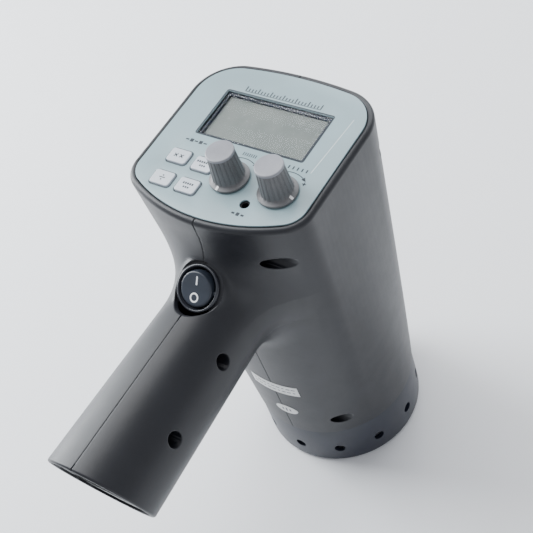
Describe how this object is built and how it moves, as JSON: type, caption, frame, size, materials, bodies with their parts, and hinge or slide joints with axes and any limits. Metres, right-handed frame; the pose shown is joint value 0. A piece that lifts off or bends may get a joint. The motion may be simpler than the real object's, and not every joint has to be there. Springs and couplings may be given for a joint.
{
  "type": "handheld stroboscope",
  "caption": "Handheld flash stroboscope for timing work: round lamp head, pistol handle with rocker switch and mains inlet, panel with display, keys and rate knobs.",
  "frame": {"origin": "centre of the lens ring's open mouth, on the plane of its rim", "axes": "+Z along the lamp axis from the lens ring to the control panel, -Y towards the end of the handle, +X to the right of someone who holds the handle and reads the panel"},
  "size_m": [0.101, 0.2146, 0.2421],
  "materials": {
    "shell_plastic": "fine textured black ABS with a bluish cast",
    "ring_plastic": "smoother blue-black ABS",
    "steel": "zinc plated",
    "bright_steel": "turned",
    "black_rubber": "foam",
    "clear_lens": "clear acrylic disc",
    "black_plastic": "moulded",
    "mirror_dish": "bright vacuum-plated dish",
    "tube_glass": "clear tube",
    "socket_ceramic": "unglazed",
    "overlay_film": "printed blue-grey film, fine grain",
    "window_acrylic": "clear window",
    "navy_plastic": "dark frame",
    "lcd_glass": "grey-olive reflective display",
    "board_green": "solder-masked board",
    "key_plastic": "off-white key",
    "knob_grey": "ribbed grey ABS",
    "knob_cap_grey": "satin grey cap",
    "pot_metal": "stamped can",
    "jack_black": "moulded",
    "switch_black": "moulded nylon",
    "brass_tabs": "tinned brass",
    "rocker_plastic": "satin slate rocker",
    "cap_grey": "satin grey ABS",
    "inlet_black": "moulded",
    "capacitor_sleeve": "printed sleeve",
    "core_steel": "varnished laminations",
    "winding_tape": "taped copper coil",
    "coil_red": "potted coil",
    "wire_brown": "PVC insulation",
    "wire_blue": "PVC insulation",
    "wire_white": "silicone insulation",
    "wire_grey": "PVC insulation",
    "label_vinyl": "blank white label"
  },
  "bodies": {
    "housing": {"left_shell": "shell_plastic", "right_shell": "shell_plastic", "shell_screws": "steel", "front_ring": "ring_plastic", "lens_gasket": "black_rubber", "front_lens": "clear_lens", "lens_retainer": "black_plastic", "reflector": "mirror_dish", "flash_tube": "tube_glass", "tube_electrodes": "steel", "lamp_socket": "socket_ceramic", "panel_plate": "black_plastic", "panel_overlay": "overlay_film", "lcd_window": "window_acrylic", "lcd_frame": "navy_plastic", "lcd_module": "lcd_glass", "main_board": "board_green", "board_screws": "steel", "key_switches": "black_plastic", "fine_pot": "pot_metal", "coarse_pot": "pot_metal", "pot_nuts": "steel", "ext_jack": "jack_black", "switch_body": "switch_black", "switch_terminals": "brass_tabs", "end_cap": "cap_grey", "mains_inlet": "inlet_black", "inlet_pins": "brass_tabs", "power_board": "board_green", "storage_capacitors": "capacitor_sleeve", "transformer_core": "core_steel", "transformer_winding": "winding_tape", "trigger_coil": "coil_red", "mains_wires": "wire_brown", "switch_wires": "wire_blue", "lamp_wires": "wire_white", "panel_wires": "wire_grey", "rating_label": "label_vinyl", "check_label": "label_vinyl"},
    "fine_control": {"fine_knob": "knob_grey", "fine_knob_cap": "knob_cap_grey", "fine_shaft": "bright_steel"},
    "coarse_control": {"coarse_knob": "knob_grey", "coarse_knob_cap": "knob_cap_grey", "coarse_shaft": "bright_steel"},
    "rocker": {"switch_rocker": "rocker_plastic"},
    "double_key": {"double_key": "key_plastic"},
    "halve_key": {"halve_key": "key_plastic"},
    "mode_key": {"mode_key": "key_plastic"},
    "range_key": {"range_key": "key_plastic"}
  },
  "joints": [
    {"name": "fine_turn", "type": "hinge", "parent": "housing", "child": "fine_control", "pos_m": [0.0028, -0.0242, 0.2235], "axis": [0, 0, 1], "range_deg": [-290, 10]},
    {"name": "coarse_turn", "type": "hinge", "parent": "housing", "child": "coarse_control", "pos_m": [0.0293, -0.0242, 0.2235], "axis": [0, 0, 1], "range_deg": [-48, 252]},
    {"name": "power_rocker", "type": "hinge", "parent": "housing", "child": "rocker", "pos_m": [0, -0.0647, 0.1888], "axis": [-1, 0, 0], "range_deg": [0, 20]},
    {"name": "double_key_press", "type": "slide", "parent": "housing", "child": "double_key", "axis": [0, 0, -1], "range_m": [0, 0.0005], "stiffness_N_per_m": 2500},
    {"name": "halve_key_press", "type": "slide", "parent": "housing", "child": "halve_key", "axis": [0, 0, -1], "range_m": [0, 0.0005], "stiffness_N_per_m": 2500},
    {"name": "mode_key_press", "type": "slide", "parent": "housing", "child": "mode_key", "axis": [0, 0, -1], "range_m": [0, 0.0005], "stiffness_N_per_m": 2500},
    {"name": "range_key_press", "type": "slide", "parent": "housing", "child": "range_key", "axis": [0, 0, -1], "range_m": [0, 0.0005], "stiffness_N_per_m": 2500}
  ]
}
